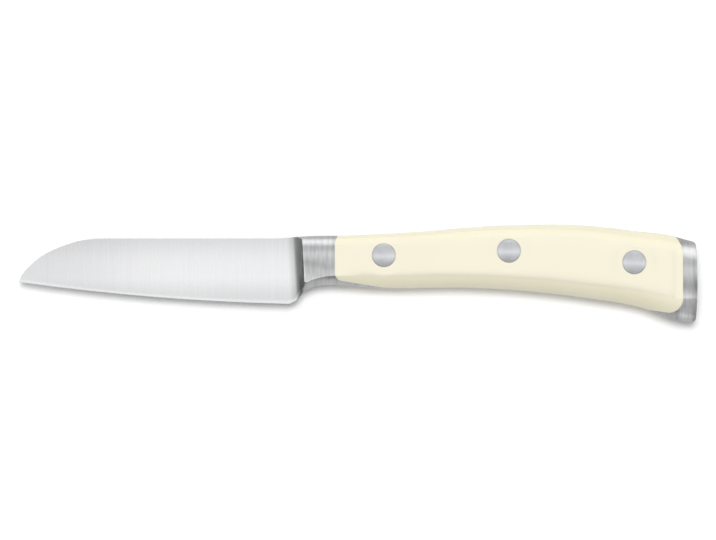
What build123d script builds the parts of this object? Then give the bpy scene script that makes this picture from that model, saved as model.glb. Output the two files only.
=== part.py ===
"""Forged paring knife with a sheep's-foot blade, a full tang, two riveted scales and a steel butt.

The knife is drawn with its point at the origin, X running along it to the butt, Y up towards the
spine and Z across its thickness, with Z zero in the middle of the steel. The finished pieces are
then laid on one side, as the knife lies on a table. All sizes are in millimetres.
"""

import math
import os

from build123d import *

# Whole knife, seen from its side. Heights are measured from the straight part of the spine.
overall_length = 197.7
edge_length = 78.5
tip_drop = 12.75
heel_drop = 19.1
edge_bow = 1.15
tip_curve_length = 25.0
spine_rise_length = 8.7
ridge_setback = 4.1
recess_setback = 12.3
recess_drop = 13.5
choil_start_slope = 0.1
grip_rise = 4.1
butt_drop = 24.6
butt_bow = 0.4
butt_slope = -0.3
butt_corner_radius = 1.3

# Thickness of the steel
heel_spine_thickness = 1.8
tip_spine_thickness = 1.3
behind_edge_thickness = 0.28
bevel_angle = 13.0
edge_relief = 0.01
ramp_radius = 3.6
ramp_lean = 3.0
bolster_thickness = 8.4
tang_thickness = 2.6

# Thickness of the grip, which swells from the bolster to a full width that runs to the butt
grip_thickness = 13.0
swell_start_setback = 7.0
swell_length = 34.0

# Ground crowns along the top and the underside of the grip
top_flat_width = 2.2
front_land_drop = 0.8
butt_land_drop = 1.9
front_shoulder_drop = 2.5
butt_shoulder_drop = 5.1
keel_share = 1 / 6
shoulder_inset_share = 0.42
land_bulge_share = 0.03
shoulder_bulge_share = 0.055
crown_bulge_share = 0.11
crown_reach_share = 0.12
crown_height = 6.9
heel_blend_setback = 1.5

# Scales
scale_front_setback = 13.6
scale_end_margin = 4.2
front_lean_slope = 0.4
front_lean_drop = 1.17
front_corner_drop = 12.05
front_corner_radius = 2.2
front_runout_slope = 0.164
front_runout_share = 0.2
rear_corner_drop = 22.25
rear_corner_radius = 4.0
rear_runout_slope = 0.14
rear_runout_length = 13.0
rear_top_drop = 5.25
rear_top_radius = 9.3
rear_top_turn = 45.0

# Rivets, each a headed tube with a headed pin inside it
rivet_place_shares = (0.1406, 0.5, 0.86)
rivet_height_shares = (0.392, 0.397, 0.417)
rivet_head_diameter = 7.0
rivet_head_thickness = 1.6
rivet_tube_diameter = 4.6
rivet_pin_diameter = 3.2
rivet_end_gap = 0.5

# How far cutting shapes run past the steel that they cut
overrun = 3.0

# Outline points, as shares of the length and height that each curve covers
TIP_SHARES = (
    (0.037, 0.817),
    (0.132, 0.612),
    (0.224, 0.455),
    (0.364, 0.292),
    (0.52, 0.165),
    (0.68, 0.066),
    (0.84, 0.015),
)
TOP_SHARES = (
    (0.0, 0.14),
    (0.086, 0.2),
    (0.187, 0.31),
    (0.307, 0.505),
    (0.437, 0.822),
    (0.597, 0.995),
    (0.74, 0.868),
    (0.853, 0.498),
    (0.947, 0.115),
    (0.977, -0.13),
    (1.0, -0.3),
)
CHOIL_SHARES = (
    (0.052, 0.033),
    (0.146, 0.11),
    (0.289, 0.427),
    (0.382, 0.664),
    (0.48, 0.791),
    (0.626, 0.904),
    (0.789, 0.964),
)
BELLY_SHARES = (
    (0.067, 0.041),
    (0.16, 0.102),
    (0.244, 0.083),
    (0.347, 0.077),
    (0.463, 0.117),
    (0.599, 0.23),
    (0.739, 0.41),
    (0.844, 0.599),
    (0.898, 0.771),
    (0.939, 0.905),
    (0.97, 0.965),
    (1.0, 1.0),
)
# Height of the underside crown above the belly, as shares of the length from heel to butt and of
# the crown's height at the butt
CROWN_SHARES = (
    (0.0, 0.007),
    (0.0054, 0.081),
    (0.0109, 0.159),
    (0.0168, 0.232),
    (0.0226, 0.275),
    (0.0293, 0.292),
    (0.0411, 0.304),
    (0.0545, 0.316),
    (0.0738, 0.335),
    (0.103, 0.372),
    (0.155, 0.44),
    (0.225, 0.49),
    (0.372, 0.516),
    (0.519, 0.522),
    (0.665, 0.555),
    (0.763, 0.595),
    (0.862, 0.69),
    (0.91, 0.79),
    (0.967, 0.93),
    (1.0, 1.0),
)
# Half of the thickness that the crown meets between the heel and the ridge, as shares of that
# length and of half of the bolster's thickness
HEEL_SHARES = (
    (0.0, 0.026),
    (0.114, 0.038),
    (0.232, 0.067),
    (0.357, 0.107),
    (0.482, 0.172),
    (0.625, 0.31),
    (0.75, 0.57),
    (0.857, 0.88),
    (1.0, 1.0),
)
# Places along the grip at which the crowns are measured, as shares of their length
TOP_STATION_SHARES = (
    0.0,
    0.07,
    0.15,
    0.26,
    0.38,
    0.5,
    0.56,
    0.62,
    0.68,
    0.74,
    0.79,
    0.84,
    0.89,
    0.93,
    0.965,
    1.0,
)
UNDERSIDE_STATION_SHARES = (
    0.0,
    0.0054,
    0.0109,
    0.0168,
    0.0226,
    0.0293,
    0.0352,
    0.0411,
    0.0478,
    0.0545,
    0.068,
    0.09,
    0.13,
    0.19,
    0.28,
    0.39,
    0.51,
    0.64,
    0.76,
    0.86,
    0.905,
    0.94,
    0.97,
    1.0,
)
halvings = 40

# Places that follow from the sizes above
ridge_x = edge_length + ridge_setback
ramp_start_x = ridge_x - ramp_radius
recess_x = edge_length + recess_setback
scale_front_x = edge_length + scale_front_setback
scale_rear_x = overall_length - scale_end_margin
half_grip = grip_thickness / 2
half_bolster = bolster_thickness / 2
half_tang = tang_thickness / 2
edge_middle = Vector(edge_length / 2, -(tip_drop + heel_drop) / 2)
edge_chord = Vector(edge_length, tip_drop - heel_drop)
edge_low = edge_middle + edge_chord.rotate(Axis.Z, -90).normalized() * edge_bow
edge_radius = ((edge_chord.length / 2) ** 2 + edge_bow**2) / (2 * edge_bow)
edge_centre = edge_low + edge_chord.rotate(Axis.Z, 90).normalized() * edge_radius


def curve_through(start, span, rise, shares, end=None, **tangents):
    """Smooth curve through points that are shares of a length and of a height."""
    points = [start + Vector(span * along, rise * up) for along, up in shares]
    if end is not None:
        points.append(end)
    return Spline(start, *points, **tangents)


def share_at(curve, x):
    """Share of a left-to-right curve at which it passes a place x."""
    low, high = 0.0, 1.0
    for _ in range(halvings):
        middle = (low + high) / 2
        if curve.position_at(middle).X < x:
            low = middle
        else:
            high = middle
    return (low + high) / 2


def height_at(curve, x):
    """Height of a left-to-right curve at a place x."""
    return curve.position_at(share_at(curve, x)).Y


# Curves of the side view
spine_end = Vector(ridge_x - spine_rise_length, 0)
tip_curve = curve_through(
    Vector(0, -tip_drop),
    tip_curve_length,
    tip_drop,
    [(along, 1 - down) for along, down in TIP_SHARES],
    Vector(tip_curve_length, 0),
)
top_curve = Spline(
    spine_end,
    *[
        Vector(ridge_x + (overall_length - ridge_x) * along, grip_rise * up)
        for along, up in TOP_SHARES
    ],
    tangents=((1, 0), (1, butt_slope)),
)
choil_curve = curve_through(
    Vector(edge_length, -heel_drop),
    recess_setback,
    heel_drop - recess_drop,
    CHOIL_SHARES,
    Vector(recess_x, -recess_drop),
    tangents=((1, choil_start_slope), (1, 0)),
)
belly_curve = curve_through(
    Vector(recess_x, -recess_drop),
    overall_length - recess_x,
    recess_drop - butt_drop,
    BELLY_SHARES,
)
edge_curve = ThreePointArc(Vector(0, -tip_drop), edge_low, Vector(edge_length, -heel_drop))

# Height of the underside crown, drawn over the length of the knife
crown_curve = Spline(
    *[
        Vector(edge_length + (overall_length - edge_length) * along, crown_height * up)
        for along, up in CROWN_SHARES
    ]
)

# Half of the thickness, drawn over the length of the knife
heel_blend_x = ridge_x + heel_blend_setback
heel_curve = Spline(
    *[
        Vector(edge_length + (heel_blend_x - edge_length) * along, half_bolster * up)
        for along, up in HEEL_SHARES
    ]
)
swell_start = Vector(ridge_x + swell_start_setback, half_bolster)
swell_end = swell_start + Vector(swell_length, half_grip - half_bolster)
swell_curve = Spline(swell_start, swell_end, tangents=((1, 0), (1, 0)))


def bottom_at(x):
    """Height of the underside: the choil up to the finger recess, then the belly."""
    return height_at(choil_curve if x < recess_x else belly_curve, x)


def half_width_at(x):
    """Half of the thickness of the bolster and grip, before the crowns are ground."""
    if x < swell_start.X:
        return half_bolster
    if x > swell_end.X:
        return half_grip
    return height_at(swell_curve, x)


# The flat of the blade is one plane on each side. It is thickest at the heel's spine and thins
# towards the tip and the edge.
grind_along = (heel_spine_thickness - tip_spine_thickness) / 2 / ramp_start_x
grind_up = (
    tip_spine_thickness / 2 + grind_along * edge_low.X - behind_edge_thickness / 2
) / -edge_low.Y
grind_normal = Vector(-grind_along, -grind_up, 1).normalized()


def flat_half_thickness(x, y):
    """Half of the blade's thickness on its ground flat."""
    return tip_spine_thickness / 2 + grind_along * x + grind_up * y


def ramp_plane():
    """Plane across the start of the bolster's ramp, which leans with the ridge."""
    lean = math.radians(ramp_lean)
    down = Vector(math.sin(lean), -math.cos(lean), 0)
    down = Vector(down.X, down.Y, grind_along * down.X + grind_up * down.Y).normalized()
    start = Vector(ramp_start_x, 0, flat_half_thickness(ramp_start_x, 0))
    return Plane(origin=start, x_dir=grind_normal.cross(down), z_dir=down)


def both_sides(shape):
    """A cutting shape on one side of the knife, and its mirror image on the other."""
    return [shape, mirror(shape, about=Plane.XY)]


def silhouette():
    """Outline of the whole forging, seen from its side."""
    corner_x = overall_length - butt_bow
    top_end = share_at(top_curve, corner_x)
    belly_end = share_at(belly_curve, corner_x)
    top_corner = top_curve.position_at(top_end)
    low_corner = belly_curve.position_at(belly_end)
    butt_middle = Vector(overall_length, (top_corner.Y + low_corner.Y) / 2)
    outline = make_face(
        [
            tip_curve,
            Line(Vector(tip_curve_length, 0), spine_end),
            top_curve.trim(0, top_end),
            ThreePointArc(top_corner, butt_middle, low_corner),
            belly_curve.trim(0, belly_end),
            choil_curve,
            edge_curve,
        ]
    )
    corners = outline.vertices().sort_by(Axis.X)[-2:]
    return fillet(corners, butt_corner_radius)


def plan():
    """Outline of the bolster and grip, seen from above, as wide as the bolster up to the tip."""
    rear = overall_length + overrun
    side = [
        Line(Vector(-overrun, half_bolster), swell_start),
        swell_curve,
        Line(swell_end, Vector(rear, half_grip)),
    ]
    far_side = [mirror(edge, about=Plane.XZ) for edge in side]
    ends = [
        Line(Vector(-overrun, half_bolster), Vector(-overrun, -half_bolster)),
        Line(Vector(rear, half_grip), Vector(rear, -half_grip)),
    ]
    return make_face(side + far_side + ends)


def grind_wheel():
    """What the wheel takes away to leave the blade's flat and the hollow ramp of the bolster."""
    front = -(ramp_start_x + overrun)
    side = half_bolster + overrun
    profile = make_face(
        [
            Line((front, 0), (0, 0)),
            TangentArc((0, 0), (ramp_radius, ramp_radius), tangent=(1, 0)),
            Line((ramp_radius, ramp_radius), (ramp_radius, side + ramp_radius)),
            Line((ramp_radius, side + ramp_radius), (front, side + ramp_radius)),
            Line((front, side + ramp_radius), (front, 0)),
        ]
    )
    above = grip_rise + overrun
    start = ramp_plane().offset(-above)
    return extrude(start * profile, above + heel_drop + overrun)


def bevel_wheel():
    """What the fine wheel takes away beside the edge, a cone about the centre of the edge's arc."""
    slope = math.tan(math.radians(bevel_angle))
    crest = edge_radius - edge_relief
    deep = (heel_spine_thickness + overrun) / slope
    first = edge_curve.position_at(0) - edge_centre
    last = edge_curve.position_at(1) - edge_centre
    turn = first.get_angle(last)
    extra = math.degrees(overrun / edge_radius)
    heel_extra = math.degrees(ridge_setback / 2 / edge_radius)
    radial = first.normalized().rotate(Axis.Z, -extra)
    plane = Plane(origin=edge_centre, x_dir=radial, z_dir=radial.cross(Vector(0, 0, 1)))
    profile = make_face(
        Polyline(
            (crest - deep, deep * slope),
            (crest + overrun, -overrun * slope),
            (crest + overrun, deep * slope),
            close=True,
        )
    )
    axis = Axis(edge_centre, (0, 0, 1))
    return revolve(plane * profile, axis, extra + turn + heel_extra)


def crown_section(x, first, last, bulge_share, corner, run_on=0):
    """Section of a crown cutter: an arc that bulges out of the steel, closed round a corner.

    The arc passes through the first and last point and goes a little past both. It can run on in
    a straight line after that.
    """
    chord = last - first
    bulge = chord.length * bulge_share
    radius = ((chord.length / 2) ** 2 + bulge**2) / (2 * bulge)
    outward = chord.rotate(Axis.Z, 90).normalized()
    centre = (first + last) / 2 - outward * (radius - bulge)
    half_turn = math.degrees(math.asin(chord.length / 2 / radius)) * (1 + 2 * crown_reach_share)
    start = centre + outward.rotate(Axis.Z, half_turn) * radius
    end = centre + outward.rotate(Axis.Z, -half_turn) * radius
    edges = [ThreePointArc(start, centre + outward * radius, end)]
    if run_on:
        far = end + (end - centre).normalized().rotate(Axis.Z, -90) * run_on
        edges.append(Line(end, far))
        end = far
    edges += [Line(end, corner), Line(corner, start)]
    across = Plane(origin=(x, 0, 0), x_dir=(0, 1, 0), z_dir=(1, 0, 0))
    return across * make_face(edges)


def between(front_value, butt_value, x):
    """A value that changes evenly from the ridge of the bolster to the butt."""
    share = (x - ridge_x) / (overall_length - ridge_x)
    return front_value + (butt_value - front_value) * share


def top_points(x):
    """Section points of the grip's top: flank, shoulder, land and flat, on one side."""
    half = half_width_at(x)
    top = height_at(top_curve, x)
    land_drop = between(front_land_drop, butt_land_drop, x)
    shoulder_drop = between(front_shoulder_drop, butt_shoulder_drop, x)
    inset = (shoulder_drop - land_drop) * shoulder_inset_share
    return (
        Vector(top - shoulder_drop, half),
        Vector(top - land_drop, half - inset),
        Vector(top, top_flat_width / 2),
        Vector(top + overrun, half + overrun),
    )


def shoulder_section(x):
    """Section of the cutter that rounds the shoulder between the flank and the top."""
    flank, shoulder, _, corner = top_points(x)
    return crown_section(x, flank, shoulder, shoulder_bulge_share, corner)


def land_section(x):
    """Section of the cutter that crowns the top from the shoulder to the middle."""
    _, shoulder, flat, corner = top_points(x)
    return crown_section(x, shoulder, flat, land_bulge_share, corner)


def underside_section(x):
    """Section of the cutter that crowns the underside from the keel to the flank."""
    bottom = bottom_at(x)
    half = height_at(heel_curve, x) if x < heel_blend_x else half_width_at(x)
    keel = Vector(bottom, half * keel_share)
    crease = Vector(bottom + height_at(crown_curve, x), half)
    bulge_share = crown_bulge_share * half / half_grip
    corner = Vector(bottom - overrun, half_grip + overrun)
    return crown_section(x, keel, crease, bulge_share, corner, run_on=overrun)


def crown_cutter(section, start_x, shares):
    """A crown cutter, lofted through its sections from a place on the knife to the butt."""
    length = overall_length - start_x
    return loft([section(start_x + length * share) for share in shares])


def ground_forging():
    """The forging and its scales as one ground body, before it is divided."""
    side_view = extrude(silhouette(), half_grip + overrun, both=True)
    above = extrude(Plane.XZ * plan(), butt_drop + grip_rise + overrun, both=True)
    body = side_view & above
    top_start = spine_end.X
    for cutter in (
        grind_wheel(),
        bevel_wheel(),
        crown_cutter(shoulder_section, top_start, TOP_STATION_SHARES),
        crown_cutter(land_section, top_start, TOP_STATION_SHARES),
        crown_cutter(underside_section, edge_length, UNDERSIDE_STATION_SHARES),
    ):
        for side in both_sides(cutter):
            body -= side
    return body


def scale_outline():
    """Outline of a scale, seen from its side, run out past the steel above and below it."""
    above = grip_rise + overrun
    low = -(butt_drop + overrun)
    runout_length = (scale_rear_x - scale_front_x) * front_runout_share
    top_centre = Vector(scale_rear_x - rear_top_radius, -rear_top_drop)
    top_end = top_centre + Vector(rear_top_radius, 0).rotate(Axis.Z, rear_top_turn)
    front_bend = Vector(scale_front_x, -front_lean_drop)
    front_top = front_bend + Vector(front_lean_slope, 1) * (above + front_lean_drop)
    front_corner = Vector(scale_front_x, -front_corner_drop)
    runout = front_corner + Vector(1, -front_runout_slope) * runout_length
    rear_corner = Vector(scale_rear_x, -rear_corner_drop)
    rear_runout = rear_corner + Vector(-1, rear_runout_slope) * rear_runout_length
    outline = make_face(
        [
            Line(front_top, front_bend),
            Line(front_bend, front_corner),
            Line(front_corner, runout),
            Line(runout, Vector(runout.X, low)),
            Line(Vector(runout.X, low), Vector(rear_runout.X, low)),
            Line(Vector(rear_runout.X, low), rear_runout),
            Line(rear_runout, rear_corner),
            Line(rear_corner, Vector(scale_rear_x, -rear_top_drop)),
            TangentArc(Vector(scale_rear_x, -rear_top_drop), top_end, tangent=(0, 1)),
            Line(top_end, Vector(top_end.X, above)),
            Line(Vector(top_end.X, above), front_top),
        ]
    )
    front = outline.vertices().sort_by_distance(front_corner)[0]
    outline = fillet(front, front_corner_radius)
    rear = outline.vertices().sort_by_distance(rear_corner)[0]
    return fillet(rear, rear_corner_radius)


def pocket():
    """Space of one scale, from the side of the tang outwards."""
    return Pos(0, 0, half_tang) * extrude(scale_outline(), half_grip + overrun)


def disc(diameter, centre, low, high):
    """Round bar across the knife, from one height to another."""
    return Pos(centre.X, centre.Y, low) * extrude(Circle(diameter / 2), high - low)


def rivet_centres():
    """Centres of the rivets, at shares of the scale's length and of the height below its top."""
    centres = []
    for place_share, height_share in zip(rivet_place_shares, rivet_height_shares):
        x = scale_front_x + (scale_rear_x - scale_front_x) * place_share
        top = height_at(top_curve, x)
        centres.append(Vector(x, top - (top - bottom_at(x)) * height_share))
    return centres


def rivet_seat(centre):
    """Height of the shoulder under a rivet's head, from the middle of the steel."""
    return half_width_at(centre.X) - rivet_head_thickness


def rivet_tube(centre):
    """Headed tube, with its head on the left side and its mouth near the other head."""
    seat = rivet_seat(centre)
    mouth = -seat + rivet_end_gap
    head = disc(rivet_head_diameter, centre, seat, half_grip + overrun)
    barrel = disc(rivet_tube_diameter, centre, mouth, seat)
    bore = disc(rivet_pin_diameter, centre, mouth - overrun, seat)
    return head + barrel - bore


def rivet_pin(centre):
    """Headed pin, with its head on the right side and its shank in the tube."""
    seat = rivet_seat(centre)
    head = disc(rivet_head_diameter, centre, -half_grip - overrun, -seat)
    shank = disc(rivet_pin_diameter, centre, -seat, seat - rivet_end_gap)
    return head + shank


def rivet_hole(centre):
    """Drilled hole with a counterbore for a head on each side."""
    seat = rivet_seat(centre)
    far = half_grip + overrun
    return [
        disc(rivet_tube_diameter, centre, -far, far),
        disc(rivet_head_diameter, centre, seat, far),
        disc(rivet_head_diameter, centre, -far, -seat),
    ]


def pieces():
    """All pieces of the knife, by name, still in the frame of the point."""
    body = ground_forging()
    left_space = pocket()
    right_space = mirror(left_space, about=Plane.XY)
    made = {
        "blade_forging": body - left_space - right_space,
        "left_scale": body & left_space,
        "right_scale": body & right_space,
    }
    for name, centre in zip(("front", "middle", "rear"), rivet_centres()):
        for carrier in ("blade_forging", "left_scale", "right_scale"):
            for hole in rivet_hole(centre):
                made[carrier] -= hole
        made[f"{name}_rivet_tube"] = rivet_tube(centre) & body
        made[f"{name}_rivet_pin"] = rivet_pin(centre) & body
    return made


def write_pieces():
    """Lay the knife on its right side, centred on the origin, and write each piece."""
    made = pieces()
    box = Compound(list(made.values())).bounding_box()
    centre = box.center()
    laid = Pos(-centre.X, -centre.Y, -box.min.Z)
    os.makedirs("parts", exist_ok=True)
    for name, shape in made.items():
        export_step(laid * shape, f"parts/{name}.step")
        print(name, "volume", round(shape.volume, 1), "solids", len(shape.solids()))
    print("overall size", box.size, "point at", -centre.X, -tip_drop - centre.Y)


write_pieces()
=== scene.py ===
# %% [markdown]
# # A paring knife on a white table
#
# This lesson dresses a finished CAD model. The shapes of the blade, the two cream scales and the
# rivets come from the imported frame, so what is left for Blender is what a polisher and a
# photographer would do: the finish of each surface, the soft edges that polishing leaves, the
# table, the lamps and the camera. Everything is in metres, with the point of the knife towards -X,
# the spine towards +Y and the table at Z = 0.

import math

import bpy
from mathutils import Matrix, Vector


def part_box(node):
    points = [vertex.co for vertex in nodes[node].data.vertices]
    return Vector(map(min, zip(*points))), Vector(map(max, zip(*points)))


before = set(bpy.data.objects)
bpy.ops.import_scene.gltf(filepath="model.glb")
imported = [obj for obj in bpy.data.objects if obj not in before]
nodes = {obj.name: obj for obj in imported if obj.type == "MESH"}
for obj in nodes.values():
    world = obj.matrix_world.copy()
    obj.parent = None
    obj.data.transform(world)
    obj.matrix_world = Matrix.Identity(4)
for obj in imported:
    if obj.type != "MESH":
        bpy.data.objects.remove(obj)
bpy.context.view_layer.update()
mm = 0.001
print("nodes:", sorted(nodes))

# %% [markdown]
# ## Sums of sockets
#
# A procedural finish is arithmetic on numbers that change from place to place. Blender keeps each
# step as a node, and a long finish drawn that way is a web of boxes. One small class wraps a
# socket, so that a sum such as `grain * 0.2 + 1` adds its own Math nodes. Every other node comes
# from the method `add`, which sets what kind of node it is before it gives it what goes in.

# %% A socket that can be used in sums
class Value:
    """One output socket of a material or world, for use in sums."""

    def __init__(self, tree, socket=None):
        self.tree = tree
        self.socket = socket

    def add(self, kind, settings, sockets, out=0):
        """Add a node of a type, with its settings first and then the values or links it takes."""
        node = self.tree.nodes.new(kind)
        for name, value in settings.items():
            if name == "stops":
                self.set_stops(node.color_ramp, value)
            else:
                setattr(node, name, value)
        for name, value in sockets.items():
            self.feed(node.inputs[name], value)
        return Value(self.tree, node.outputs[out] if node.outputs else None)

    def feed(self, target, value):
        """Give a socket a link if the value is a socket too, and a plain value if it isn't."""
        if isinstance(value, Value):
            self.tree.links.new(value.socket, target)
        else:
            target.default_value = value

    def set_stops(self, ramp, stops):
        """Lay a smooth curve through a ramp's stops, each a place from 0 to 1 and a level."""
        ramp.interpolation = "CARDINAL"
        while len(ramp.elements) < len(stops):
            ramp.elements.new(1.0)
        for element, (place, level) in zip(ramp.elements, stops):
            element.position = place
            element.color = (level, level, level, 1)

    def output(self, name):
        """Another output of the node that this value comes from."""
        return Value(self.tree, self.socket.node.outputs[name])

    def maths(self, operation, first, second=0.0):
        return self.add("ShaderNodeMath", {"operation": operation}, {0: first, 1: second})

    def __add__(self, other):
        return self.maths("ADD", self, other)

    def __sub__(self, other):
        return self.maths("SUBTRACT", self, other)

    def __rsub__(self, other):
        return self.maths("SUBTRACT", other, self)

    def __mul__(self, other):
        return self.maths("MULTIPLY", self, other)

    def __truediv__(self, other):
        return self.maths("DIVIDE", self, other)

    __radd__ = __add__
    __rmul__ = __mul__

    def rise(self, start, end):
        """A mask that is 0 at the start, 1 at the end and smooth between."""
        ends = {"Value": self, "From Min": start, "From Max": end}
        return self.add("ShaderNodeMapRange", {"interpolation_type": "SMOOTHSTEP"}, ends)

    def mix(self, share, first, second):
        """A number between two numbers."""
        return self.add("ShaderNodeMix", {"data_type": "FLOAT"}, {0: share, 2: first, 3: second})

    def profile(self, places, levels):
        """A smooth curve of levels over places that rise along this value.

        A ramp runs from 0 to 1 and holds no level above 1, so it gets half of each level, and
        the result is doubled.
        """
        length = places[-1] - places[0]
        stops = [((place - places[0]) / length, level / 2) for place, level in zip(places, levels)]
        share = (self - places[0]) / length
        return self.add("ShaderNodeValToRGB", {"stops": stops}, {"Fac": share}, out="Color") * 2

    def tint(self, colour):
        """A colour, made lighter or darker by this number."""
        settings = {"data_type": "RGBA", "blend_type": "MIX"}
        return self.add("ShaderNodeMix", settings, {0: self, 6: (0, 0, 0, 1), 7: colour}, out=2)

    def split(self):
        """The X, Y and Z of these coordinates, as three values."""
        x = self.add("ShaderNodeSeparateXYZ", {}, {"Vector": self})
        return [x, x.output("Y"), x.output("Z")]

    def vectors(self, operation, sockets, out=0):
        """One step of a sum on vectors."""
        return self.add("ShaderNodeVectorMath", {"operation": operation}, sockets, out)

    def between(self, share, first, second):
        """A vector between two vectors."""
        sockets = {0: share, 4: first, 5: second}
        return self.add("ShaderNodeMix", {"data_type": "VECTOR"}, sockets, out=1)

    def spots(self, per_metre, detail):
        """Soft random spots from -0.5 to 0.5, so many to a metre along each axis."""
        sockets = {"Vector": self, "Scale": per_metre}
        drawn = self.add("ShaderNodeMapping", {"vector_type": "POINT"}, sockets)
        sockets = {"Vector": drawn, "Scale": 1.0, "Detail": detail}
        return self.add("ShaderNodeTexNoise", {"noise_dimensions": "3D"}, sockets) - 0.5

    def bevel(self, samples, radius):
        """The direction that the surface would face if its edges were rounded off."""
        return self.add("ShaderNodeBevel", {"samples": samples}, {"Radius": radius})


print("socket maths ready")

# %% [markdown]
# ## A new finish
#
# Every finish starts alike: a new material, its shader, and coordinates to measure places with.
# Object coordinates are used, because the pieces sit at the origin with their places in their
# meshes: a millimetre of the pattern is a millimetre of the knife, on every piece and from every
# side. Generated coordinates would squeeze a pattern into each piece's own box.

# %% Helpers for a finish
def finish(name):
    """A new material, with its shader and its Object coordinates."""
    material = bpy.data.materials.new(name)
    material.use_nodes = True
    tree = material.node_tree
    place = Value(tree).add("ShaderNodeTexCoord", {}, {}, out="Object")
    return material, tree.nodes["Principled BSDF"], place


def lie(place):
    """The direction that the surface faces, and how flat it lies on the knife's side: 1 is flat."""
    normal = place.add("ShaderNodeTexCoord", {}, {}, out="Normal")
    upwards = normal.split()[2]
    return normal, upwards.maths("ABSOLUTE", upwards)


def coat(shader, place, sockets):
    """Give a shader the values and links of its sockets."""
    for name, value in sockets.items():
        place.feed(shader.inputs[name], value)


def millimetres(*sizes):
    """Sizes in millimetres, as the metres that Blender works in."""
    return [size * mm for size in sizes]


# %% [markdown]
# ## Steel of the forging
#
# Blade, bolster, tang and butt are one piece of steel that is ground in several ways: flat on the
# blade, with a fine bevel at the edge, hollow where the wheel ends in front of the bolster, and
# satin on the bolster and the butt. Two or three materials would need the mesh cut where the
# finish changes. One material tells the zones apart by their place, so the change can be sharp at
# the ridge and soft at the start of the ramp. The bevel is known by its tilt: it is the part of
# the blade that doesn't lie flat.

# %% Zones of the forging
ridge_x = -16.25 * mm
ramp_length = 3.6 * mm
ridge_lean = math.tan(math.radians(3.0))
ramp_start = millimetres(-0.6, 1.0)
hollow_start = millimetres(1.35, 2.2)
foot_start = millimetres(2.1, 3.1)
foot_height = millimetres(0.5, -3)
ridge_width = 0.2 * mm
bevel_tilt = (0.99, 0.98)

steel, shader, place = finish("forged_steel")
x, y = place.split()[:2]
along = x + y * ridge_lean - (ridge_x - ramp_length)
near_ramp = along.rise(*ramp_start)
in_hollow = along.rise(*hollow_start)
at_foot = along.rise(*foot_start) * y.rise(*foot_height)
on_bolster = along.rise(ramp_length - ridge_width / 2, ramp_length + ridge_width / 2)
normal, flatness = lie(place)
on_bevel = flatness.rise(*bevel_tilt) * (1 - near_ramp)
print("the ridge stands at", round(ridge_x / mm, 2), "mm, and the ramp is", round(ramp_length / mm, 2), "mm")

# %% [markdown]
# ## Grain of the belt
#
# The belt runs across the knife, from spine to edge, so its lines stand upright in the photograph.
# A picture of brushed steel could hold them, but it would repeat and have a seam. Random spots
# that are drawn out along one axis never repeat. Fine lines over broad ones look ground, and
# shorter ones are added where the bolster and the butt are polished by hand.

# %% Three sizes of line
fine_belt = (2300, 45, 45)
broad_belt = (900, 18, 18)
hand_polish = (1300, 170, 60)
line_share = 0.6
fine_lines = place.spots(fine_belt, 4.0)
broad_lines = place.spots(broad_belt, 3.0)
short_lines = place.spots(hand_polish, 3.0)
grain = fine_lines * line_share + broad_lines * line_share
print("a fine line of the grain is about", round(1 / fine_belt[0] / mm, 2), "mm wide")

# %% [markdown]
# ## Tone of the blade
#
# The flat of the blade is lightest along its middle, greyer towards the spine and the edge, and
# a little darker towards the point: this is the studio's reflection, painted into the steel's
# colour. Lamps alone give a flat plane one even tone, so the slow change is painted as a curve of
# levels over the height. The grain fades out just under the spine, where the belt lifts off.

# %% The blade
blade_heights = millimetres(-9, -5.6, -3.8, -1.5, 0.8, 3.2, 5.5, 8.4, 10.4)
blade_reflection_levels = [0.66, 0.7, 0.75, 0.8, 0.8, 0.79, 0.76, 0.7, 0.67]
point_fade = millimetres(-98, -50)
painted_point_level = 0.86
spine_fade = millimetres(10.3, 8.5)
grain_share = 0.1
# painted reflection: the studio's tones over the blade's height, dimmer towards the point
painted_blade_reflection = y.profile(blade_heights, blade_reflection_levels)
painted_blade_reflection = painted_blade_reflection * x.mix(x.rise(*point_fade), painted_point_level, 1.0)
# the real grain laid over the painted reflection
blade_level = painted_blade_reflection + grain_share * grain * y.rise(*spine_fade)
print("blade levels from", min(blade_reflection_levels), "to", max(blade_reflection_levels))

# %% [markdown]
# ## Tone of the ramp and the bevel
#
# The hollow in front of the bolster mirrors the dark of the room, most of all at its foot above
# the heel, and less towards the spine, and that dark is painted shade here. The bevel at the edge
# is ground by a finer wheel, and where it tilts off the flat it is painted a shade darker, as one
# thin strip. Both painted shades are made as shares that the blade's level is multiplied by, so
# that the grain runs on through them.

# %% The ramp and the bevel
painted_ramp_darkening = 0.2
painted_foot_darkening = 0.45
painted_bevel_darkening = 0.13
low_painted_hollow_darkening, high_painted_hollow_darkening = 0.3, 0.12
upper_ramp = millimetres(4, 9)
# painted shade in the hollow and at its foot, and on the tilted bevel
painted_hollow_darkening = y.mix(y.rise(*upper_ramp), low_painted_hollow_darkening, high_painted_hollow_darkening)
painted_hollow_shade = (1 - painted_ramp_darkening * near_ramp) * (1 - in_hollow * painted_hollow_darkening) * (1 - painted_foot_darkening * at_foot)
painted_bevel_shade = 1 - painted_bevel_darkening * on_bevel
print("the ramp keeps", 1 - painted_ramp_darkening, "of the blade's level, and the bevel", 1 - painted_bevel_darkening)
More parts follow.
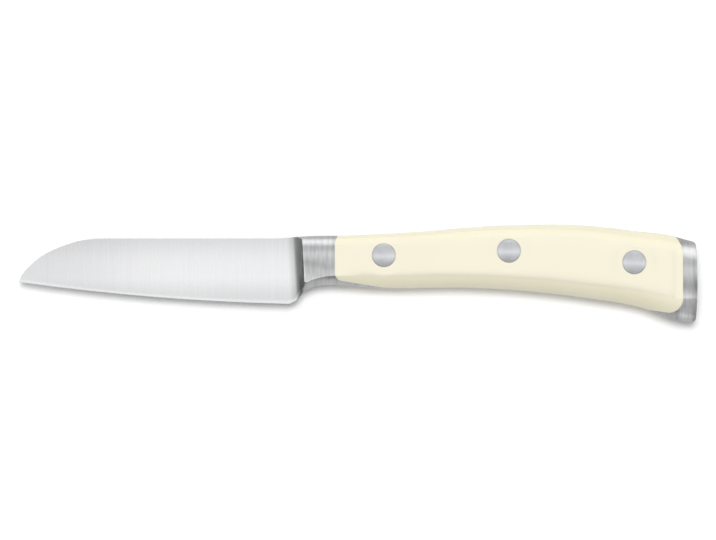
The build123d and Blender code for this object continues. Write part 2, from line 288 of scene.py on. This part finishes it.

# %% [markdown]
# ## Tone of the bolster and its underside
#
# The bolster is rounded over and polished, so it mirrors the room in bands along the knife. On
# its lower half, just over the finger recess, the bands slant down towards the handle. The
# underside below the crease faces away from the lamps, and it gets painted shade. The real bands
# come from curves finer than the CAD model holds, so they are painted reflections, drawn as a
# curve of levels over the height.

# %% The bolster
bolster_heights = millimetres(-12, -8, -4.6, -1.6, -0.6, 1.4, 3.0, 5.6, 7.5, 9.3, 10.5)
bolster_reflection_levels = [0.5, 0.36, 0.56, 0.61, 0.56, 0.49, 0.42, 0.58, 0.45, 0.6, 0.36]
slant_share = 0.22
slant_middle = -12.4 * mm
lower_half = millimetres(4.5, 2.5)
slant_end = millimetres(-5, -9)
slant = slant_share * (x - slant_middle) * y.rise(*lower_half) * x.rise(*slant_end)
# painted reflection: bands of the room over the bolster's height
painted_bolster_light = (y + slant).profile(bolster_heights, bolster_reflection_levels)
underside_tilt = (0.95, 0.8)
underside_height = millimetres(3, 1)
painted_underside_darkening = 0.35
# painted shade on the underside below the crease
on_underside = flatness.rise(*underside_tilt) * y.rise(*underside_height)
painted_bolster_light = painted_bolster_light * (1 - painted_underside_darkening * on_underside)
print("levels over the bolster's height:", len(bolster_reflection_levels))

# %% [markdown]
# ## Tone of the butt
#
# The butt is polished all round like the bolster, and mirrors the room in bands of its own, which
# are painted reflections in its colour. Its outline at the very end is rounded, and the light
# falls off there, more so on the lower half: that is painted shade. The change from the bolster's
# bands to these lies mostly under the scales, and where the tang shows it is soft, so that no step
# is seen. The grain is laid over both by multiplying, which keeps it fainter in the dark bands, as
# on real polish.

# %% The butt
butt_heights = millimetres(-13.4, -11.4, -9.2, -7.6, -7.1, -5.8, -3.5, 0.8, 3.2, 5.6, 7.2, 8.2, 9.2)
butt_reflection_levels = [0.38, 0.76, 0.54, 0.42, 0.65, 0.53, 0.37, 0.57, 0.46, 0.61, 0.62, 0.42, 0.29]
butt_start = millimetres(89.5, 92)
butt_slant = 0.25
end_round = millimetres(96.6, 98.4)
lower_end = millimetres(1, -5)
high_painted_end_darkening, low_painted_end_darkening = 0.05, 0.35
belt_share, polish_share = 0.25, 0.6
# painted shade at the butt's rounded end, deeper on the lower half
painted_end_darkening = y.mix(y.rise(*lower_end), high_painted_end_darkening, low_painted_end_darkening)
painted_butt_light = y.profile(butt_heights, butt_reflection_levels) * (1 - painted_end_darkening * x.rise(*end_round))
at_butt = (x + butt_slant * y).rise(*butt_start)
# painted light that changes from the bolster's bands to the butt's
painted_grip_light = x.mix(at_butt, painted_bolster_light, painted_butt_light)
grip_grain = 1 + belt_share * fine_lines + belt_share * broad_lines + polish_share * short_lines
# the real grain laid over the painted light of the grip
grip_level = painted_grip_light * grip_grain
print("levels over the butt's height:", len(butt_reflection_levels))

# %% [markdown]
# ## Painted highlights on the edges
#
# A polished edge is never quite sharp: the mop leaves a hair's breadth of round, and that line
# mirrors a lamp from almost any side. In the photograph it shows as a pale line along the crease
# under the bolster, and here it is a painted highlight in the steel's colour. A Bevel node says
# where the surface would turn if its edges were rounded, and where that disagrees with the true
# direction, an edge is near. Only the side that lies flat gets the painted line, next to the
# ridge, and it fades out upwards and towards the handle.

# %% The painted highlights on the edges
edge_round = 0.5 * mm
edge_turn = 0.05
flat_side = (0.95, 0.98)
handle_fade = millimetres(-8, -12)
upward_fade = millimetres(16, -2)
painted_highlight_gain = 0.55
rounded = place.bevel(6, edge_round)
agreement = rounded.vectors("DOT_PRODUCT", {0: rounded, 1: normal}, out="Value")
# painted highlight along the edges next to the ridge
painted_edge_highlight = (1 - agreement).rise(0.0, edge_turn) * flatness.rise(*flat_side) * x.rise(*handle_fade)
grip_level = grip_level * (1 + painted_highlight_gain * painted_edge_highlight * y.rise(*upward_fade))
# the steel's colour: painted light and shade, with the real grain
level = x.mix(on_bolster, blade_level * painted_hollow_shade * painted_bevel_shade, grip_level)
print("lit edges are up to", round(edge_round / mm, 2), "mm wide")

# %% [markdown]
# ## The forging's material
#
# The levels become a colour with a trace of blue, the shader is fully metallic, and the roughness
# of a satin finish spreads its mirror image. The relief of the grain is a Bump node over softened
# edges: nearly sharp on the blade and the bolster, rounder in the ramp, which the wheel blends.
# Real grooves of a hundredth of a millimetre would need millions of faces for the same look.

# %% Give the forging its steel
steel_white = (0.985, 0.99, 1, 1)
crisp_round, eased_round = millimetres(0.05, 0.25)
groove_depth = 0.02 * mm
groove_strength = 0.15
satin, bolster_satin, grain_satin = 0.27, 0.05, 0.1
crisp = place.bevel(4, crisp_round)
eased = place.bevel(6, eased_round)
softened = place.between(near_ramp * (1 - on_bolster), crisp, eased)
grooves = {"Height": grain, "Strength": groove_strength, "Distance": groove_depth}
relief = place.add("ShaderNodeBump", {}, {**grooves, "Normal": softened})
coat(
    shader,
    place,
    {
        "Base Color": level.tint(steel_white),
        "Metallic": 1.0,
        "Roughness": satin + bolster_satin * on_bolster + grain_satin * grain,
        "Normal": relief,
    },
)
nodes["blade_forging"].data.materials[0] = steel
print("steel nodes:", len(steel.node_tree.nodes))

# %% [markdown]
# ## Cream of the scales
#
# The scales are moulded from a hard cream resin, ground flush with the steel and polished to a
# soft gloss. The polishing mop rounds the resin more than the steel, so the turns from the flank
# to the crowns of the top and the underside are soft, except close to the rivets and the steel,
# where the metal holds the mop off. A fillet in the mesh would have to fade out towards each of
# them. A mask of the open ground, away from the metal, is simpler, and the light is bent over the
# edges only there.

# %% Open ground, away from the metal
def off_centre(u, v):
    """How far a point lies from a centre: the square of it, and the distance itself."""
    squared = u.maths("POWER", u, 2.0) + v.maths("POWER", v, 2.0)
    return squared, squared.maths("SQRT", squared)


rivet_places = {}
for name in ("front", "middle", "rear"):
    low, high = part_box(f"{name}_rivet_tube")
    rivet_places[name] = (low + high) / 2
scale_low, scale_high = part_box("left_scale")
front_margin = millimetres(1.2, 9)
rear_margin = millimetres(1.2, 3.2)
rivet_margin = millimetres(4.6, 6.6)

resin, shader, place = finish("cream_resin")
x, y = place.split()[:2]
open_ground = x.rise(scale_low.x + front_margin[0], scale_low.x + front_margin[1])
open_ground = open_ground * x.rise(scale_high.x - rear_margin[0], scale_high.x - rear_margin[1])
for centre in rivet_places.values():
    distance = off_centre(x - centre.x, y - centre.y)[1]
    open_ground = open_ground * distance.rise(*rivet_margin)
print("rivets at mm:", {name: [round(v / mm, 2) for v in c] for name, c in rivet_places.items()})

# %% [markdown]
# ## Light bent over the mopped edge
#
# A Bevel node gives the direction that a rounded edge would have. The edge is rounder towards the
# butt, so two widths are blended along the handle. What counts is the turn, the difference
# between the rounded and the true direction. It is taken on the flank side only, because the
# crown's own side is shaped in the mesh, and 1.7 times, because the flank then carries the whole
# turn and not half of it. Near the metal a very fine bevel takes over, so that the rim of the
# resin doesn't look cut with a knife.

# %% The mopped edge
front_round, rear_round, rim_round = millimetres(4.0, 5.8, 0.15)
rounder = millimetres(30, 65)
turn_gain = 1.7
flank_side = (0.9, 0.97)
wide = place.between(x.rise(*rounder), place.bevel(8, front_round), place.bevel(8, rear_round))
normal, flatness = lie(place)
turn = wide.vectors("SUBTRACT", {0: wide, 1: normal})
share = turn_gain * open_ground * flatness.rise(*flank_side)
turn = turn.vectors("SCALE", {0: turn, "Scale": share})
plain = place.between(open_ground, place.bevel(4, rim_round), normal)
mopped = plain.vectors("ADD", {0: plain, 1: turn})
mopped = mopped.vectors("NORMALIZE", {0: mopped})
print("the mop rounds the edge by", round(front_round / mm, 1), "to", round(rear_round / mm, 1), "mm")

# %% [markdown]
# ## The scales' resin
#
# The colour is nearly even: a faint cloud in it and a fine orange-peel relief keep it from looking
# like paint on a screen. The crowns, which turn away from the flank, get a painted shade: a
# deeper, warmer cream than the flank. The resin takes less gloss than a new shader has. That is
# the same all over, so it is a plain number on the shader's own specular level.

# %% Give the scales their resin
flank_cream = (0.9, 0.855, 0.685, 1)
crown_cream_painted_shade = (0.9, 0.855, 0.65, 1)
crown_tilt = (0.98, 0.85)
cream_level, cloud_share = 0.97, 0.04
soft_gloss, cloud_gloss = 0.34, 0.08
peel_depth = 0.02 * mm
peel_strength = 0.05
cloud = place.spots((70, 70, 70), 3.0)
peel = place.spots((1500, 1500, 1500), 2.0)
dimples = {"Height": peel, "Strength": peel_strength, "Distance": peel_depth}
relief = place.add("ShaderNodeBump", {}, {**dimples, "Normal": mopped})
# painted shade: the crowns get a deeper, warmer cream than the flank
sockets = {0: flatness.rise(*crown_tilt), 6: flank_cream, 7: crown_cream_painted_shade}
cream = place.add("ShaderNodeMix", {"data_type": "RGBA"}, sockets, out=2)
coat(
    shader,
    place,
    {
        "Base Color": (cream_level + cloud_share * cloud).tint(cream),
        "Roughness": soft_gloss + cloud_gloss * cloud,
        "Specular IOR Level": 0.3,
        "Normal": relief,
    },
)
for name in ("left_scale", "right_scale"):
    nodes[name].data.materials[0] = resin
print("resin nodes:", len(resin.node_tree.nodes))

# %% [markdown]
# ## Rivets
#
# The rivet heads are ground flush in the same pass as the scales and then mopped, which leaves
# each one a shallow dome. The pale band across its middle is a painted reflection, and the darker
# rim is painted shade. The dome is under two tenths of a millimetre high and flush at the rim,
# so the material raises it with a Bump node. Each rivet has its own material, whose pattern a
# Mapping node centres on the head, because one shared pattern could be centred on one of them only.

# %% Give the rivets their steel
head_radius = 3.5 * mm
dome_height = 0.1715 * mm
scratch_depth = 0.004 * mm
rim_width = 0.55 * mm
painted_rim_darkening = 0.22
scratch_share, blotch_share = 0.1, 0.12
rivet_satin, scratch_satin = 0.36, 0.1
band_heights = millimetres(-3.3, -2.6, -1.5, -0.9, -0.3, 0.6, 1.5, 2.4, 3.3)
rivet_reflection_levels = [0.38, 0.4, 0.525, 0.62, 0.7, 0.63, 0.58, 0.58, 0.68]
rivet_white = (0.96, 0.97, 1, 1)
for name, centre in rivet_places.items():
    rivet_steel, shader, place = finish(f"{name}_rivet_steel")
    sockets = {"Vector": place, "Location": -centre}
    here = place.add("ShaderNodeMapping", {"vector_type": "POINT"}, sockets)
    u, v = here.split()[:2]
    squared, distance = off_centre(u, v)
    scratches = here.spots((1100, 80, 80), 3.0)
    blotches = place.spots((600, 600, 600), 2.0)
    rim = distance.rise(head_radius - rim_width, head_radius)
    # painted reflection of a pale band across the dome, and painted shade at the rim
    painted_rivet_band = v.profile(band_heights, rivet_reflection_levels)
    level = (painted_rivet_band + scratch_share * scratches + blotch_share * blotches) * (1 - painted_rim_darkening * rim)
    dome = scratches * scratch_depth - squared * (dome_height / head_radius**2)
    relief = place.add("ShaderNodeBump", {}, {"Height": dome, "Distance": 1.0})
    coat(
        shader,
        place,
        {
            "Base Color": level.tint(rivet_white),
            "Metallic": 1.0,
            "Roughness": rivet_satin + scratch_satin * scratches,
            "Normal": relief,
        },
    )
    for part in ("tube", "pin"):
        nodes[f"{name}_rivet_{part}"].data.materials[0] = rivet_steel
print("rivets dressed:", len(rivet_places), "with", len(rivet_steel.node_tree.nodes), "nodes each")

# %% [markdown]
# ## Table
#
# The knife lies on a white table that is lit until it is nearly white. The lamp's light stays at
# a plain level for the sake of the knife, so the table adds a little white of its own, only for
# the camera and for what mirrors it. The shadow stays, because the share that comes from the
# lamps still goes dark. A Light Path node tells such rays from the plain light between surfaces.

# %% The table
def seen_rays(tree):
    """1 where a ray comes from the camera or from a mirror or glass, and 0 for plain light."""
    camera_ray = Value(tree).add("ShaderNodeLightPath", {}, {}, out="Is Camera Ray")
    seen = camera_ray.maths("MAXIMUM", camera_ray, camera_ray.output("Is Glossy Ray"))
    seen = seen.maths("MAXIMUM", seen, camera_ray.output("Is Transmission Ray"))
    return seen, camera_ray


table_side = 30
table_glow = 0.03
bpy.ops.object.select_all(action="DESELECT")
bpy.ops.mesh.primitive_plane_add(size=table_side)
table = bpy.context.object
table.name = "table"
table_white = bpy.data.materials.new("table_white")
table_white.use_nodes = True
tree = table_white.node_tree
tree.nodes.clear()
seen = seen_rays(tree)[0]
matt = seen.add("ShaderNodeBsdfDiffuse", {}, {"Color": (0.99, 0.99, 0.99, 1)})
sockets = {"Color": (1, 1, 1, 1), "Strength": seen * table_glow}
glow = seen.add("ShaderNodeEmission", {}, sockets)
both = seen.add("ShaderNodeAddShader", {}, {0: matt, 1: glow})
both.add("ShaderNodeOutputMaterial", {}, {"Surface": both})
table.data.materials.append(table_white)
print("table:", tuple(round(side, 2) for side in table.dimensions))

# %% [markdown]
# ## Light
#
# The photograph was lit from above and from behind the spine. Steel has no colour of its own, it
# mirrors the studio, so the dome is drawn as steel sees it: pale overhead, a bright softbox
# behind the spine, a bright strip in front of the edge, and dim at both ends of the knife. Area
# lamps could stand in those places, but a drawn dome has no hard rims and costs no noise. For
# plain light the dome counts half, and one soft sun adds the rest and the short shadow.

# %% The studio's dome
ways = (-1.0, -0.85, -0.65, -0.55, -0.45, -0.35, -0.25, -0.15, -0.05, 0.05, 0.3, 0.45, 0.6, 0.9, 1.0)
lamp_levels = (0.5, 0.5, 0.8, 1.5, 1.65, 1.55, 1.18, 1.12, 1.1, 1.0, 0.95, 1.2, 1.55, 1.4, 0.5)
knife_ends = (0.3, 0.85)
dim_ends = 0.62
horizon = (-0.1, 0.35)
floor_level = 0.4
plain_share = 0.5
world = bpy.data.worlds.new("studio")
bpy.context.scene.world = world
world.use_nodes = True
tree = world.node_tree
tree.nodes.clear()
way = Value(tree).add("ShaderNodeTexCoord", {}, {}, out="Generated")
dx, dy, dz = way.split()
ends = way.maths("ABSOLUTE", dx).rise(*knife_ends)
softboxes = dy.profile(ways, lamp_levels)
overhead = dz.rise(*horizon)
dome = softboxes * (1 - dim_ends * ends) * (floor_level + (1 - floor_level) * overhead)
seen, camera_ray = seen_rays(tree)
light = dome.mix(seen, dome * plain_share, dome)
light = dome.mix(camera_ray, light, 1.0)
background = light.add("ShaderNodeBackground", {}, {"Color": (1, 1, 1, 1), "Strength": light})
background.add("ShaderNodeOutputWorld", {}, {"Surface": background})
print("dome nodes:", len(tree.nodes))

# %% [markdown]
# ## Sun
#
# The shadow in the photograph is short and soft and falls on the side of the cutting edge. A sun
# that is twenty degrees wide and stands twelve degrees off the vertical, on the spine's side,
# gives it. The sun is hidden from mirrors, because the dome already holds every lamp that the
# steel should show.

# %% The sun
sun_power = 1.95
sun_width = math.radians(20)
sun_lean = math.radians(12)
sun_data = bpy.data.lights.new("sun", "SUN")
sun_data.energy = sun_power
sun_data.angle = sun_width
sun = bpy.data.objects.new("sun", sun_data)
sun.rotation_euler = (-sun_lean, 0, 0)
sun.visible_glossy = False
bpy.context.scene.collection.objects.link(sun)
print("the sun's power is", sun_power, "and the dome holds the rest of the light")

# %% [markdown]
# ## Camera
#
# The photograph looks straight down with a long lens: neither the spine nor the edge is seen from
# the side. The image is 716 by 540 pixels, and 208.93 mm fit across it at the height of the blade.
# The camera's height follows from that width and the lens. A short lens would show the near flank
# larger than the tang. The Standard view keeps a colour as it is written.

# %% The camera
lens = 600.0
sensor = 36.0
view_width = 208.93 * mm
view_centre = Vector((-0.02, 0.97, 6.5)) * mm
camera_data = bpy.data.cameras.new("camera")
camera_data.lens = lens
camera_data.sensor_width = sensor
camera_data.clip_end = 100
camera = bpy.data.objects.new("camera", camera_data)
camera.location = view_centre + Vector((0, 0, view_width * lens / sensor))
bpy.context.scene.collection.objects.link(camera)
bpy.context.scene.camera = camera
bpy.context.scene.view_settings.view_transform = "Standard"
print("camera height in m:", round(camera.location.z, 3))
